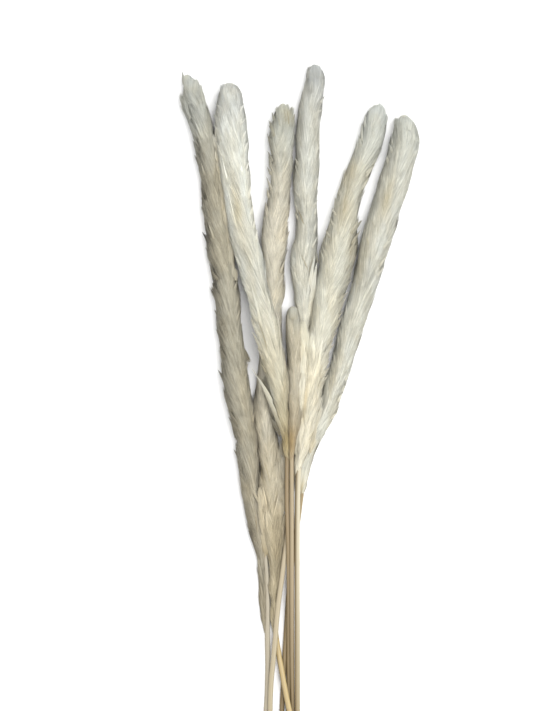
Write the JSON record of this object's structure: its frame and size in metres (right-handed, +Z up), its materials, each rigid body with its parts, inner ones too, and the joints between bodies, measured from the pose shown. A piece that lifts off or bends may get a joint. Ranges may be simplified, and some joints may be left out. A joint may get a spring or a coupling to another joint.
{
  "type": "pampas grass bunch",
  "caption": "Loose bunch of dried, bleached pampas grass: narrow plumes of fine down on slim straw stems, lying flat, ready to stand in a vase.",
  "frame": {"origin": "middle of the bunch's footprint, on the surface that it lies on", "axes": "+Y along the bunch from the cut ends to the plumes' tips, +Z up, +X to the right seen from above with the tips away"},
  "size_m": [0.2388, 0.7524, 0.0455],
  "materials": {
    "down": "matte",
    "stem": "satin"
  },
  "bodies": {
    "root": {"plume_1": "down", "plume_2": "down", "plume_3": "down", "plume_4": "down", "plume_5": "down", "plume_6": "down", "plume_7": "down", "stem_1": "stem", "stem_2": "stem", "stem_3": "stem", "stem_4": "stem", "stem_5": "stem", "stem_6": "stem", "stem_7": "stem"}
  },
  "joints": []
}
